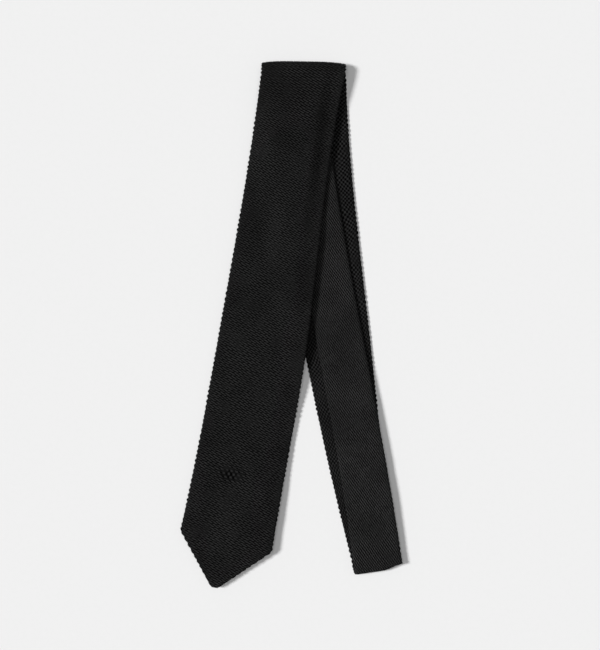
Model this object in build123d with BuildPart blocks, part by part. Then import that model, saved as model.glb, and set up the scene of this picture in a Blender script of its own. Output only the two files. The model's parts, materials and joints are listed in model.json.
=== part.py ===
"""A knitted necktie folded in four and lying flat: the tie is doubled at the neck with its tail
through the keeper loop, and the doubled tie is folded once more. Millimetres, +Z up, +Y towards
the upper fold, origin at the middle of the footprint on the surface that the tie lies on.

Four runs of cloth lie on each other. From the bottom: the lower run, the neck run, the tail, and
the front blade. Each run is a folded envelope of knit round a strip of interlining. The upper fold
joins the lower run to the blade, the inner fold joins the neck run to the tail inside it, and the
neck fold joins the lower run to the neck run at the other end."""

from build123d import *
import os
from math import atan2, cos, degrees, radians, sin, tan

# Cloth
wall = 0.7  # one thickness of knit
interlining_thickness = 0.8
lining_gap = 0.05  # between the interlining and the knit round it
run_gap = 0.3  # between the lower run and the neck run
keeper_room = 1.0  # between the neck run and the tail, where the keeper passes under the tail
label_room = 0.8  # between the tail and the back of the blade

# Where the folds are
fold_centre = (8.58, 179.01)  # middle of the upper fold's axis, seen from above
fold_tilt = 1.0  # degrees that the upper fold's right end lies lower
inner_fold_shift = 4.5  # how far the inner fold lies left of the upper fold's middle
blade_clearance = 0.15  # between the fold's axis and the start of the blade and the tail

# Blade: the run from the upper fold to the pointed front end
blade_angle = -9.7  # degrees from straight down, right is positive
blade_length = 371.9  # to the tip, before it is rounded
blade_fold_width = 58.0
blade_waist = 57.2
blade_waist_at = 100.0
blade_calf = 62.6
blade_calf_at = 200.0
blade_lower = 63.3
blade_lower_at = 270.0
blade_shoulder_width = 65.8
blade_waist_bow = 1.6  # how far the run's middle stands right of a straight line there
blade_calf_bow = 3.7
blade_lower_bow = 3.2
blade_shoulder_bow = 1.9
blade_tip_bow = -1.1
blade_shoulder_skew = 2.0  # how much further down the right shoulder is than the middle
blade_point = 36.2  # from the shoulders to the tip
blade_point_radius = 5.0
blade_shoulder_radius = 4.0

# Lower run: from the upper fold down to the neck fold
lower_angle = 8.5
lower_length = 353.2
lower_thigh = 54.0
lower_thigh_at = 70.0
lower_thigh_bow = -4.2
lower_middle = 46.2
lower_middle_at = 200.0
lower_middle_bow = -5.4
lower_ankle = 38.6
lower_ankle_at = 280.0
lower_ankle_bow = -4.4

# Neck fold and neck run
neck_fold_width = 34.0
neck_middle = 32.4
neck_middle_at = 150.0
neck_middle_bow = -2.2
neck_lower = 32.5
neck_lower_at = 250.0
neck_lower_bow = 0.2
inner_fold_width = 33.0

# Tail: the hidden run with the narrow end
tail_angle = -8.5
tail_length = 335.0
tail_end_width = 39.0
tail_point = 20.0
tail_point_radius = 3.0
tail_shoulder_radius = 2.0

# Where the upper pair of runs comes down to the surface
slope_margin = 14.0  # from where the blade has left the lower run to where it starts to come down
slope_length = 50.0
tip_slope_margin = 3.0  # from the tail's tip to where the blade starts to come down past it
tip_slope_length = 22.0

# Sewn details
slit_width = 1.2  # between the two edges of the envelope, at the middle of its back
seam_overlap = 12.0  # how far the slit runs on past the start of a point's window
thread_width = 0.8
thread_thickness = 0.5
thread_clearance = 0.1
join_at = 6.0  # from a fold's axis to the seam that joins two panels
join_thread_height = 0.4
join_end_margin = 2.8  # from the end of a joining seam to the run's edge
tipping_thickness = 0.5
tipping_clearance = 0.15
blade_window_length = 71.9  # from where the envelope's edges part, over the lining, to the tip
blade_window_margin = 12.0
tail_window_length = 39.0
tail_window_margin = 7.0
bar_tack_width = 8.0
bar_tack_length = 1.5
bar_tack_thickness = 0.3
keeper_at = 168.0  # from the upper fold to the middle of the keeper loop
keeper_length = 12.0
keeper_thickness = 0.6
keeper_clearance = 0.2
keeper_side_room = 1.0
keeper_flange = 5.0
label_gap = 18.0  # from the keeper loop to the label
label_length = 18.0
label_width = 44.0
label_thickness = 0.3

# Heights that follow from the stack
layer = 2 * wall + interlining_thickness + 2 * lining_gap
neck_base = layer + run_gap
tail_base = neck_base + layer + keeper_room
blade_base = tail_base + layer + label_room
stack_height = blade_base + layer
blade_on_tail = layer + label_room
upper_axis_height = stack_height / 2
inner_axis_height = (neck_base + tail_base + layer) / 2
neck_axis_height = (neck_base + layer) / 2

# Places that follow from the lengths and widths
crossing_width = blade_calf / 2 + blade_calf_bow + lower_middle / 2 - lower_middle_bow
crossing_end = crossing_width / (2 * tan(radians(lower_angle - blade_angle) / 2))
slope_start = crossing_end + slope_margin
slope_end = slope_start + slope_length
tip_slope_start = tail_length + tip_slope_margin
tip_slope_end = tip_slope_start + tip_slope_length
blade_window_start = blade_length - blade_window_length
tail_window_start = tail_length - tail_window_length
label_at = keeper_at + keeper_length / 2 + label_gap

overrun = 12.0  # how far a run is drawn past a fold before it is cut there
reach = 60.0  # more than half of any run's width
cut_through = 1.0  # how far a cutting shape stands past the face that it cuts
through_wall = wall + lining_gap / 2  # deep enough to open a wall into the hollow

UP = Vector(0, 0, 1)


def along(angle):
    """The level direction that stands at this angle from straight down, right is positive."""
    return Vector(sin(radians(angle)), -cos(radians(angle)), 0)


# Upper fold: its axis, and the direction out of the fold
fold_outward = -along(-fold_tilt)
fold_along = fold_outward.cross(UP)
upper_fold = Vector(*fold_centre, 0)
inner_fold = upper_fold - fold_along * inner_fold_shift
neck_fold = upper_fold + along(lower_angle) * lower_length
neck_run_line = neck_fold - inner_fold
neck_length = neck_run_line.length
neck_angle = degrees(atan2(neck_run_line.X, -neck_run_line.Y))
neck_outward = along((lower_angle + neck_angle) / 2)

upper_cut = Plane(origin=upper_fold, z_dir=fold_outward)
upper_cut_above = Plane(origin=upper_fold - fold_outward * blade_clearance, z_dir=fold_outward)
neck_cut = Plane(origin=neck_fold, z_dir=neck_outward)

# Each run: its start and angle, the path of its underside, its stations of distance, bow and
# width, the planes that end it, and the length, bow and radii of its point if it has one
lower_run = {
    "start": upper_fold,
    "angle": lower_angle,
    "path": [(-overrun, 0), (lower_length + overrun, 0)],
    "stations": [
        (0, 0, blade_fold_width),
        (lower_thigh_at, lower_thigh_bow, lower_thigh),
        (lower_middle_at, lower_middle_bow, lower_middle),
        (lower_ankle_at, lower_ankle_bow, lower_ankle),
        (lower_length, 0, neck_fold_width),
    ],
    "cuts": [upper_cut, neck_cut],
}
neck_run = {
    "start": inner_fold,
    "angle": neck_angle,
    "path": [(-overrun, neck_base), (neck_length + overrun, neck_base)],
    "stations": [
        (0, 0, inner_fold_width),
        (neck_middle_at, neck_middle_bow, neck_middle),
        (neck_lower_at, neck_lower_bow, neck_lower),
        (neck_length, 0, neck_fold_width),
    ],
    "cuts": [upper_cut, neck_cut],
}
blade = {
    "start": upper_fold,
    "angle": blade_angle,
    "path": [
        (-overrun, blade_base),
        (slope_start, blade_base),
        (slope_end, blade_on_tail),
        (tip_slope_start, blade_on_tail),
        (tip_slope_end, 0),
        (blade_length + overrun, 0),
    ],
    "stations": [
        (0, 0, blade_fold_width),
        (blade_waist_at, blade_waist_bow, blade_waist),
        (blade_calf_at, blade_calf_bow, blade_calf),
        (blade_lower_at, blade_lower_bow, blade_lower),
        (blade_length - blade_point, blade_shoulder_bow, blade_shoulder_width),
    ],
    "cuts": [upper_cut_above],
    "point": (blade_length, blade_tip_bow, blade_point_radius, blade_shoulder_radius),
    "shoulder_skew": blade_shoulder_skew,
}
tail = {
    "start": inner_fold,
    "angle": tail_angle,
    "path": [
        (-overrun, tail_base),
        (slope_start, tail_base),
        (slope_end, 0),
        (tail_length + overrun, 0),
    ],
    "stations": [
        (0, 0, inner_fold_width),
        (tail_length - tail_point, 0, tail_end_width),
    ],
    "cuts": [upper_cut_above],
    "point": (tail_length, 0, tail_point_radius, tail_shoulder_radius),
}


def ground_plane(run):
    """Lies on the surface with its x axis along the run and its y axis to the run's right."""
    return Plane(origin=run["start"], x_dir=along(run["angle"]), z_dir=UP)


def upright_plane(run):
    """Stands on the run's line, with x along the run and y up."""
    direction = along(run["angle"])
    return Plane(origin=run["start"], x_dir=direction, z_dir=direction.cross(UP))


def bent_sheet(run, low, high):
    """The run's bent side profile between two heights above its underside, wider than any run."""
    lower_line = [(x, z + low) for x, z in run["path"]]
    upper_line = [(x, z + high) for x, z in reversed(run["path"])]
    with BuildPart() as sheet:
        with BuildSketch(upright_plane(run)):
            with BuildLine():
                Polyline(*lower_line, *upper_line, close=True)
            make_face()
        extrude(amount=reach, both=True)
    return sheet.part


def edge_line(run, side, trim):
    """The points of one long edge of a run, drawn in by trim: side is 1 for right, -1 for left."""
    points = [(x, bow + side * (width / 2 - trim)) for x, bow, width in run["stations"]]
    last_x, last_y = points[-1]
    points[-1] = (last_x + side * run.get("shoulder_skew", 0), last_y)
    return points


def tip_distance(run, inset):
    """How far along the run its point lies once both slanted edges are drawn in by inset."""
    shoulder_at, _, width = run["stations"][-1]
    tip_at = run["point"][0]
    return tip_at - inset / sin(atan2(width / 2, tip_at - shoulder_at))


def run_sheet(run, low, high, trim=0.0):
    """One layer of a run, between two heights above its underside and drawn in by trim."""
    right = edge_line(run, 1, trim)
    left = edge_line(run, -1, trim)
    first_right = (-overrun, right[0][1])
    first_left = (-overrun, left[0][1])
    with BuildPart() as sheet:
        add(bent_sheet(run, low, high))
        with BuildSketch(ground_plane(run)) as outline:
            with BuildLine():
                Line(first_left, first_right)
                Line(first_right, right[0])
                Spline(*right) if len(right) > 2 else Line(*right)
                if "point" in run:
                    Polyline(right[-1], (tip_distance(run, trim), run["point"][1]), left[-1])
                else:
                    beyond = right[-1][0] + overrun
                    Polyline(right[-1], (beyond, right[-1][1]), (beyond, left[-1][1]), left[-1])
                Spline(*reversed(left)) if len(left) > 2 else Line(*reversed(left))
                Line(left[0], first_left)
            make_face()
            if "point" in run:
                _, _, tip_radius, shoulder_radius = run["point"]
                fillet(outline.vertices().sort_by(Axis.X)[-3:-1], radius=shoulder_radius)
                fillet(outline.vertices().sort_by(Axis.X)[-1], radius=tip_radius)
        extrude(amount=stack_height, mode=Mode.INTERSECT)
        for cut in run["cuts"]:
            split(bisect_by=cut, keep=Keep.BOTTOM)
    return sheet.part


def strip(run, low, high, start, end, half_width, shift=0.0):
    """A straight-edged piece of a run's layer, between two distances along it."""
    with BuildPart() as piece:
        add(bent_sheet(run, low, high))
        with BuildSketch(ground_plane(run)):
            with Locations(((start + end) / 2, shift)):
                Rectangle(end - start, 2 * half_width)
        extrude(amount=stack_height, mode=Mode.INTERSECT)
        for cut in run["cuts"]:
            split(bisect_by=cut, keep=Keep.BOTTOM)
    return piece.part


def seam_strip(run, low, high, width, end):
    """A narrow strip that follows the middle of a run, from its fold to a distance along it."""
    narrow = {key: value for key, value in run.items() if key != "point"}
    narrow["stations"] = [(x, bow, width) for x, bow, _ in run["stations"]]
    with BuildPart() as seam:
        add(run_sheet(narrow, low, high))
        add(strip(run, low, high, -overrun, end, reach), mode=Mode.INTERSECT)
    return seam.part


def back_heights(back, depth, proud=0.0):
    """Heights of something that goes depth into the back of a run, and stands proud of it."""
    return (layer - depth, layer + proud) if back == "top" else (-proud, depth)


def front_heights(back, depth, proud=0.0):
    return back_heights("bottom" if back == "top" else "top", depth, proud)


def kite(run, low, high, start, margin, trim=0.0):
    """The part of a point's lining that shows between the parted edges of the envelope."""
    shoulder_at, bow, width = run["stations"][-1]
    half = width / 2 - margin - trim
    top = start + trim / sin(atan2(half, shoulder_at - start))
    with BuildPart() as lining:
        add(bent_sheet(run, low, high))
        with BuildSketch(ground_plane(run)):
            with BuildLine():
                Polyline(
                    (top, bow),
                    (shoulder_at, bow + half),
                    (tip_distance(run, margin + trim), run["point"][1]),
                    (shoulder_at, bow - half),
                    close=True,
                )
            make_face()
        extrude(amount=stack_height, mode=Mode.INTERSECT)
    return lining.part


def envelope(run, back, seam_end, join=None):
    """The knit folded round a run, with its slit at the back and a groove over each join."""
    with BuildPart() as shell:
        add(run_sheet(run, 0, layer))
        add(run_sheet(run, wall, layer - wall, trim=wall), mode=Mode.SUBTRACT)
        slit = back_heights(back, through_wall, proud=cut_through)
        add(seam_strip(run, *slit, slit_width, seam_end), mode=Mode.SUBTRACT)
        if join:
            groove = front_heights(back, join_thread_height + thread_clearance, proud=cut_through)
            width = thread_width + 2 * thread_clearance
            half = join_half_width(run) + thread_clearance
            ends = (join - width / 2, join + width / 2)
            add(strip(run, *groove, *ends, half), mode=Mode.SUBTRACT)
    return shell.part


def join_half_width(run):
    """Half the length of a joining seam, which stops short of a run's edges."""
    return min(width for _, _, width in run["stations"]) / 2 - join_end_margin


def join_stitch(run, back, at):
    heights = front_heights(back, join_thread_height)
    return strip(run, *heights, at - thread_width / 2, at + thread_width / 2, join_half_width(run))


def interlining(run):
    inset = wall + lining_gap
    return run_sheet(run, inset, layer - inset, trim=inset)


def slip_stitch(run, back, seam_end):
    heights = back_heights(back, thread_thickness)
    return seam_strip(run, *heights, thread_width, seam_end)


def bar_tack(run, back, window_start):
    """The dense stitch, pulled into the knit, that closes the slit just above the point's lining."""
    end = window_start - bar_tack_length
    heights = back_heights(back, bar_tack_thickness)
    bow = run["stations"][-1][1]
    return strip(run, *heights, end - bar_tack_length, end, bar_tack_width / 2, shift=bow)


def fold_arc(centre, outward, axis_height, inner, outer, width):
    """Half a ring of cloth about a fold's axis."""
    origin = centre + UP * axis_height
    with BuildPart() as arc:
        with BuildSketch(Plane(origin=origin, x_dir=outward, z_dir=outward.cross(UP))):
            Circle(outer)
            Circle(inner, mode=Mode.SUBTRACT)
            Rectangle(outer, 2 * outer, align=(Align.MIN, Align.CENTER), mode=Mode.INTERSECT)
        extrude(amount=width / 2, both=True)
    return arc.part


def save(piece, name):
    piece.part.label = name
    export_step(piece.part, f"parts/{name}.step")


os.makedirs("parts", exist_ok=True)

# The knit envelope, run by run
with BuildPart() as lower_run_envelope:
    add(envelope(lower_run, "top", lower_length, join=lower_length - join_at))
save(lower_run_envelope, "lower_run_envelope")

with BuildPart() as neck_run_envelope:
    add(envelope(neck_run, "bottom", neck_length, join=join_at))
save(neck_run_envelope, "neck_run_envelope")

with BuildPart() as blade_envelope:
    add(envelope(blade, "bottom", blade_window_start + seam_overlap))
    window = back_heights("bottom", through_wall, proud=cut_through)
    add(kite(blade, *window, blade_window_start, blade_window_margin), mode=Mode.SUBTRACT)
    add(bar_tack(blade, "bottom", blade_window_start), mode=Mode.SUBTRACT)
save(blade_envelope, "blade_envelope")

with BuildPart() as tail_envelope:
    add(envelope(tail, "top", tail_window_start + seam_overlap))
    window = back_heights("top", through_wall, proud=cut_through)
    add(kite(tail, *window, tail_window_start, tail_window_margin), mode=Mode.SUBTRACT)
    add(bar_tack(tail, "top", tail_window_start), mode=Mode.SUBTRACT)
save(tail_envelope, "tail_envelope")

# The interlining, the linings of the two points, and the thread
for run, name in ((lower_run, "lower_run"), (neck_run, "neck_run"), (blade, "blade"), (tail, "tail")):
    with BuildPart() as run_interlining:
        add(interlining(run))
    save(run_interlining, f"{name}_interlining")

with BuildPart() as blade_tipping:
    lining_heights = (wall - tipping_thickness, wall)
    add(kite(blade, *lining_heights, blade_window_start, blade_window_margin, tipping_clearance))
save(blade_tipping, "blade_tipping")

with BuildPart() as tail_tipping:
    lining_heights = (layer - wall, layer - wall + tipping_thickness)
    add(kite(tail, *lining_heights, tail_window_start, tail_window_margin, tipping_clearance))
save(tail_tipping, "tail_tipping")

slip_stitches = (
    (lower_run, "top", lower_length, "lower_run_slip_stitch"),
    (neck_run, "bottom", neck_length, "neck_run_slip_stitch"),
    (blade, "bottom", blade_window_start - 2 * bar_tack_length, "blade_slip_stitch"),
    (tail, "top", tail_window_start - 2 * bar_tack_length, "tail_slip_stitch"),
)
for run, back, seam_end, name in slip_stitches:
    with BuildPart() as thread:
        add(slip_stitch(run, back, seam_end))
    save(thread, name)

with BuildPart() as neck_join_stitch:
    add(join_stitch(lower_run, "top", lower_length - join_at))
save(neck_join_stitch, "neck_join_stitch")

with BuildPart() as tail_join_stitch:
    add(join_stitch(neck_run, "bottom", join_at))
save(tail_join_stitch, "tail_join_stitch")

with BuildPart() as blade_bar_tack:
    add(bar_tack(blade, "bottom", blade_window_start))
save(blade_bar_tack, "blade_bar_tack")

with BuildPart() as tail_bar_tack:
    add(bar_tack(tail, "top", tail_window_start))
save(tail_bar_tack, "tail_bar_tack")

# The three folds: knit outside, interlining inside
upper_inner = upper_axis_height - layer
inner_inner = inner_axis_height - neck_base - layer
neck_inner = run_gap / 2
folds = (
    ("upper_fold", upper_fold, fold_outward, upper_axis_height, upper_inner, blade_fold_width),
    ("inner_fold", inner_fold, fold_outward, inner_axis_height, inner_inner, inner_fold_width),
    ("neck_fold", neck_fold, neck_outward, neck_axis_height, neck_inner, neck_fold_width),
)
for name, centre, outward, height, inner, width in folds:
    outer = inner + layer
    inset = wall + lining_gap
    with BuildPart() as fold_envelope:
        add(fold_arc(centre, outward, height, inner, outer, width))
        hollow = fold_arc(centre, outward, height, inner + wall, outer - wall, width - 2 * wall)
        add(hollow, mode=Mode.SUBTRACT)
    save(fold_envelope, f"{name}_envelope")
    with BuildPart() as fold_interlining:
        add(fold_arc(centre, outward, height, inner + inset, outer - inset, width - 2 * inset))
    save(fold_interlining, f"{name}_interlining")

# Keeper loop: sewn to the blade's back at both ends, with the tail running through it
tail_growth = (tail_end_width - inner_fold_width) / (tail_length - tail_point)
tail_half_at_keeper = (inner_fold_width + tail_growth * keeper_at) / 2
keeper_inner_half = tail_half_at_keeper + keeper_side_room
keeper_outer_half = keeper_inner_half + keeper_thickness
keeper_floor = tail_base - keeper_clearance
keeper_start = inner_fold + along(tail_angle) * (keeper_at - keeper_length / 2)
keeper_right = UP.cross(along(tail_angle))
with BuildPart() as keeper_loop:
    with BuildSketch(Plane(origin=keeper_start, x_dir=keeper_right, z_dir=along(tail_angle))):
        with BuildLine():
            Polyline(
                (-keeper_outer_half - keeper_flange, blade_base),
                (-keeper_outer_half - keeper_flange, blade_base - keeper_thickness),
                (-keeper_outer_half, blade_base - keeper_thickness),
                (-keeper_outer_half, keeper_floor - keeper_thickness),
                (keeper_outer_half, keeper_floor - keeper_thickness),
                (keeper_outer_half, blade_base - keeper_thickness),
                (keeper_outer_half + keeper_flange, blade_base - keeper_thickness),
                (keeper_outer_half + keeper_flange, blade_base),
                (keeper_inner_half, blade_base),
                (keeper_inner_half, keeper_floor),
                (-keeper_inner_half, keeper_floor),
                (-keeper_inner_half, blade_base),
                close=True,
            )
        make_face()
    extrude(amount=keeper_length)
save(keeper_loop, "keeper_loop")

# Blank label on the back of the blade, just past the keeper
with BuildPart() as label:
    heights = back_heights("bottom", 0, proud=label_thickness)
    label_end = label_at + label_length
    add(strip(blade, *heights, label_at, label_end, label_width / 2, shift=blade_calf_bow))
save(label, "label")
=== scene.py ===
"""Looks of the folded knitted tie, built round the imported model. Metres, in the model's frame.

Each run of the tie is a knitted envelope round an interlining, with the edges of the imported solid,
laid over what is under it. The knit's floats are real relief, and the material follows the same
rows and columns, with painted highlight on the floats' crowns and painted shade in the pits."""

import json
from math import pi, radians

import bpy
import numpy as np
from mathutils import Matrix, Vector
from mathutils.bvhtree import BVHTree


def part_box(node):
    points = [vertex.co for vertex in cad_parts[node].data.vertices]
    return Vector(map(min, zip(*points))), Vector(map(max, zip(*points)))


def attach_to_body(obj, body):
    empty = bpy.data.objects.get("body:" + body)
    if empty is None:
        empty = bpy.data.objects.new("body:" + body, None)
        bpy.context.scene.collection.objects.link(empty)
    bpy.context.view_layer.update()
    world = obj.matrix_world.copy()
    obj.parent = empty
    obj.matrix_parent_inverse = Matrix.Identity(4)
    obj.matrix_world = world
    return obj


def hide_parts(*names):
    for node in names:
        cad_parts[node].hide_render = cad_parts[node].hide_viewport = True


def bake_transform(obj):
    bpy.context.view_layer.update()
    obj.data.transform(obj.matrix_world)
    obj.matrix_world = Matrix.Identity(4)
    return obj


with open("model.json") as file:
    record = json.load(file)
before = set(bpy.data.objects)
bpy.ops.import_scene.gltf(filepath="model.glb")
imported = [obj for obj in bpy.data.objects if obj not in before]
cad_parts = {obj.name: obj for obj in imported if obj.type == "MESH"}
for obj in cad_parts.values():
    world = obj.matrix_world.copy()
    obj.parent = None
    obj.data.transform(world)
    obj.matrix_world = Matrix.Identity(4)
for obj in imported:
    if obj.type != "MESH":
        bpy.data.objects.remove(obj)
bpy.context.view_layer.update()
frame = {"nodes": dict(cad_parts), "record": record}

MM = 0.001
UP = np.array([0.0, 0.0, 1.0])

# Cloth
WALL = 0.70 * MM
SLIT_HALF = 0.25 * MM
EDGE_ROUND = 2.4 * MM  # how far a rolled edge reaches into the cloth's face
BACK_SEGMENTS, EDGE_SEGMENTS = 10, 6  # mesh columns of each half of the back, and of each edge
END_GAP = 0.08 * MM  # between a run's end and its fold, so that ends don't touch when it opens
TIP_GAP = 0.3 * MM  # between a point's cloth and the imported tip
THINNEST = 0.05 * MM  # least radius of the cloth in a fold
WOOL_FOLD_ROWS = 24
SHORTEST_SHEET = 10.1 * MM
STRIDE = 4  # the inside of the envelope has one mesh row or column for this many outside

# Knits: columns across the run's width, distance of rows, how many columns a float crosses in a
# row, how strong the falling and the rising floats, the rows and their crossings are, mesh steps
# in a row and in a column, and how deep the loops are
FINE = {
    "columns": 18, "row": 2.49 * MM, "slant": 1.5, "weave": (0.62, 0.34, 0.16, 0.38), "mesh": (5, 5),
    "relief": 0.42 * MM, "band": 0.35, "scallop": 0.62 * MM, "wander": 1.0,
}
DENSE = {
    "columns": 20, "row": 1.60 * MM, "slant": 0.5, "weave": (0.72, 0.42, 0.0, 0.0), "mesh": (3, 5),
    "relief": 0.34 * MM, "band": 0.2, "scallop": 0.25 * MM, "wander": 1.0,
}
COARSE = {
    "columns": 19, "row": 1.55 * MM, "slant": 0.5, "weave": (0.5, 0.5, 0.0, 0.0), "mesh": (3, 5),
    "relief": 0.55 * MM, "band": 0.0, "scallop": 0.50 * MM, "wander": 3.0,
}
ROW_WANDER, COLUMN_WANDER = 0.12, 0.06  # how uneven the rows and columns lie
SCALLOP_PITCH = 3.5 * MM
PROUD = 0.45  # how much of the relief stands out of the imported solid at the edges
BAND_WIDTH = 4.0 * MM  # the smoother ribbed band beside each edge
FOLD_RIB_LENGTH = 7.0 * MM  # the rows close up into ribs over a fold

# Drape of the blade and the tail
SAG_LEAD = 10 * MM
SAG_LENGTH = 70 * MM
SAG_FROM_FOLD = 60 * MM
EDGE_DROOP = 0.9 * MM
TIP_CURL = 2.6 * MM  # the blade's right shoulder curls up
TIP_DROP = 0.12  # how much of its height the blade loses past the tail's tip
FOLD_DROOP = 2.6 * MM  # the blade's right margin sinks beside the inner fold
AT_FOLD = 0.5  # the part of that which the fold itself follows
CORNER_TUCK = 0.24  # how far both corners of the upper fold are drawn in
NECK_RISE = 2.0 * MM  # the neck fold springs open
SKEW_FADE = 60 * MM
FOLD_ROWS = 36
NECK_BULGE = 0.5 * MM
NECK_TUCK = 0.85  # how flat the neck fold is pulled at its right end

# The patch of the blade that its bar tack pulls
PULL_AHEAD, PULL_ASIDE = 8 * MM, 2.4 * MM
PULL_LENGTH, PULL_WIDTH = 9 * MM, 16 * MM
PULL_OPENS = 0.62  # how far the loops there are drawn open
PULL_DEPTH = 0.5 * MM


def smooth(x):
    x = np.clip(x, 0, 1)
    return x * x * (3 - 2 * x)


def wander(x, y, scale, seed):
    """A slow, repeatable unevenness between about -1 and 1."""
    total = np.zeros(np.broadcast(x, y).shape)
    for k in range(5):
        angle = 2.399 * k + seed
        wave = (1 + 0.37 * k) * 2 * pi / scale
        total = total + np.sin(wave * (x * np.cos(angle) + y * np.sin(angle)) + seed * (k + 1))
    return total / 2.6


def node_points(node):
    """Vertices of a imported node."""
    mesh = frame["nodes"][node].data
    points = np.empty(len(mesh.vertices) * 3, np.float32)
    mesh.vertices.foreach_get("co", points)
    return points.reshape(-1, 3).astype(float)


def node_tree(node):
    """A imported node, ready for rays."""
    mesh = frame["nodes"][node].data
    corners = [v.co.copy() for v in mesh.vertices]
    return BVHTree.FromPolygons(corners, [tuple(p.vertices) for p in mesh.polygons])


def middle(node):
    low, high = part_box(node)
    return (np.array(low) + np.array(high)) / 2


def farthest(node, point):
    points = node_points(node)
    return points[np.argmax(np.linalg.norm(points[:, :2] - point[:2], axis=1))]


# ---------- the stack and the folds

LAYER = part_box("lower_run_envelope")[1][2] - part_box("lower_run_envelope")[0][2]
NECK_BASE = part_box("neck_run_envelope")[0][2]
TAIL_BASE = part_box("tail_envelope")[1][2] - LAYER
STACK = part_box("blade_envelope")[1][2]
BLADE_BASE = STACK - LAYER
INSIDE_HALF = (LAYER / 2 - WALL) * 0.98  # half the room between the envelope's two walls
KEEPER_ROOM = TAIL_BASE - NECK_BASE - LAYER

fold_joint = next(j for j in frame["record"]["behaviour"]["joints"] if j["name"] == "blade_fold")
FOLD = np.array(fold_joint["pos_m"]) * [1, 1, 0]
FOLD_ALONG = -np.array(fold_joint["axis"])
FOLD_OUT = np.array([-FOLD_ALONG[1], FOLD_ALONG[0], 0.0])


def axis_of(node, out):
    """The point of the ground under the middle of a fold's axis."""
    low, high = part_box(node)
    centre = middle(node) - out * (high[2] - low[2]) / 4
    return centre * [1, 1, 0]


inner = axis_of("inner_fold_envelope", FOLD_OUT)
INNER = FOLD + FOLD_ALONG * np.dot(inner - FOLD, FOLD_ALONG)
toward_neck = middle("neck_fold_envelope") * [1, 1, 0] - FOLD
NECK_OUT = toward_neck / np.linalg.norm(toward_neck)
NECK = axis_of("neck_fold_envelope", NECK_OUT)


class Run:
    """One straight run of the tie: its line, and its edges as rays find them on its node."""

    def __init__(self, name, start, end, front, cuts, knit):
        self.name = name
        self.start = start * [1, 1, 0]
        span = end * [1, 1, 0] - self.start
        self.length = float(np.linalg.norm(span))
        self.along = span / self.length
        self.right = np.cross(UP, self.along)
        self.front = front  # 1 when its front looks up, -1 when it looks down
        self.cuts = cuts  # planes of the folds that end it: point, normal, distance
        self.knit = knit
        self.measure(node_tree(f"{name}_envelope"))

    def measure(self, tree, step=0.5 * MM, skip=7 * MM, far=0.2):
        """Left and right edge at even distances along the run."""
        last = self.length - (skip if len(self.cuts) > 1 else 0.25 * MM)
        found = []
        for distance in np.arange(skip, last, step):
            point = self.start + self.along * distance
            face = tree.ray_cast(Vector(point + UP * self.front * far), Vector(-UP * self.front))[0]
            if face is None:
                continue
            level = UP * (face.z - self.front * LAYER / 2)
            edges = []
            for side in (-1, 1):
                origin = point + level + self.right * side * far
                hit = tree.ray_cast(Vector(origin), Vector(-self.right * side))[0]
                edges.append(float(np.dot(np.array(hit) - point, self.right)))
            found.append((distance, *edges))
        self.at, self.left, self.right_edge = np.array(found).T
        width = self.right_edge - self.left
        self.shoulder = self.at[np.argmax(width)] if len(self.cuts) == 1 else self.length

    def edges(self, d):
        """Left and right edge at these distances, from the run's line."""
        return np.interp(d, self.at, self.left), np.interp(d, self.at, self.right_edge)

    def ground(self, d, w):
        """World x and y of a point of the run. Near a fold the rows turn to lie in its plane."""
        shift = np.zeros(np.broadcast(d, w).shape)
        for point, normal, distance in self.cuts:
            line = self.start + self.along * distance
            offset = np.dot(line - point, normal) + w * np.dot(self.right, normal)
            fade = 1 - smooth(np.abs(d - distance) / SKEW_FADE)
            shift = shift - offset / np.dot(self.along, normal) * fade
        d = d + shift
        return tuple(self.start[k] + self.along[k] * d + self.right[k] * w for k in (0, 1))


blade_tip = farthest("blade_envelope", FOLD)
tail_tip = farthest("tail_envelope", INNER)
upper_cut = (FOLD, FOLD_OUT, 0.0)
lower_length = float(np.linalg.norm(NECK - FOLD))
neck_length = float(np.linalg.norm(NECK - INNER))
RUNS = {
    "blade": Run("blade", FOLD, blade_tip, 1, [upper_cut], FINE),
    "tail": Run("tail", INNER, tail_tip, -1, [upper_cut], DENSE),
    "neck_run": Run("neck_run", INNER, NECK, 1, [upper_cut, (NECK, NECK_OUT, neck_length)], DENSE),
    "lower_run": Run("lower_run", FOLD, NECK, -1, [upper_cut, (NECK, NECK_OUT, lower_length)], COARSE),
}
blade, tail = RUNS["blade"], RUNS["tail"]
lower_run = RUNS["lower_run"]


# ---------- drape


def on_run(run, x, y):
    """Distance along a run and to its right of a point of the ground."""
    dx, dy = x - run.start[0], y - run.start[1]
    return dx * run.along[0] + dy * run.along[1], dx * run.right[0] + dy * run.right[1]


def sag(x, y):
    """How far the upper pair of runs has come down, past the edge of the lower pair."""
    d, w = on_run(blade, x, y)
    slant = -np.dot(lower_run.along, blade.right) / np.dot(lower_run.along, blade.along)
    left_of_lower = -lower_run.edges(np.clip(d, 0, lower_run.length))[0]
    clear_at = (w + left_of_lower) / -slant
    keeper_at = np.dot(middle("keeper_loop") - FOLD, blade.along)
    depth = TAIL_BASE - KEEPER_ROOM * (1 - smooth((d - keeper_at - 12 * MM) / (30 * MM)))
    return depth * smooth((d - clear_at + SAG_LEAD) / SAG_LENGTH) * smooth(d / SAG_FROM_FOLD)


def tail_base(x, y):
    return TAIL_BASE - sag(x, y)


def beside_tail(x, y):
    """How far a point of the ground lies beyond the tail's left and right edge."""
    tail_d, tail_w = on_run(tail, x, y)
    tail_d = np.clip(tail_d, 0, None)
    left, right = tail.edges(tail_d)
    return left - tail_w, tail_w - right, tail_d


def fold_droop(x, y):
    """How far the upper run sinks beside the inner fold, where nothing lies under it."""
    return FOLD_DROOP * smooth((beside_tail(x, y)[1] - 1 * MM) / (9 * MM))


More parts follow.
